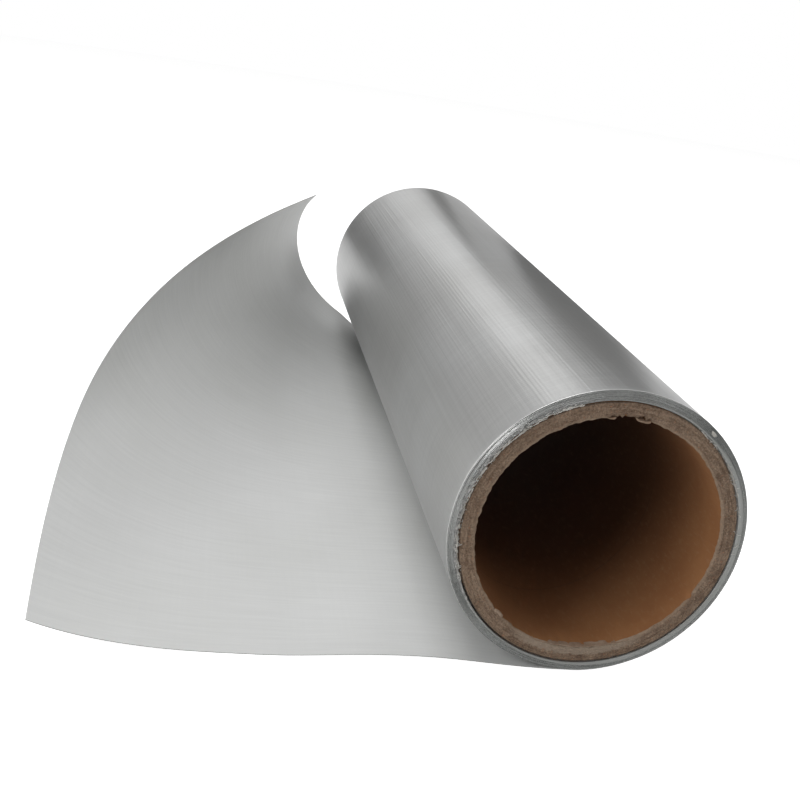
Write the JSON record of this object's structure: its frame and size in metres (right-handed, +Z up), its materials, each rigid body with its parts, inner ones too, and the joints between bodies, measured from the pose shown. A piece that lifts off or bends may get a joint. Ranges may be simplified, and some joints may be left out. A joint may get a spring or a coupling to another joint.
{
  "type": "aluminium foil roll",
  "caption": "Wide roll of woven-faced aluminium foil laminate on a board core, with a loose tail that curls up at its cut end.",
  "frame": {"origin": "on the surface that the roll lies on, under the roll's axis and at mid-length", "axes": "+Y along the roll's axis from the near end to the far end, +Z up, and the loose tail runs out towards -X"},
  "size_m": [0.2112, 0.3444, 0.0933],
  "materials": {
    "board": "matte",
    "foil": "satin"
  },
  "bodies": {
    "root": {"core": "board", "foil_web": "foil"}
  },
  "joints": []
}
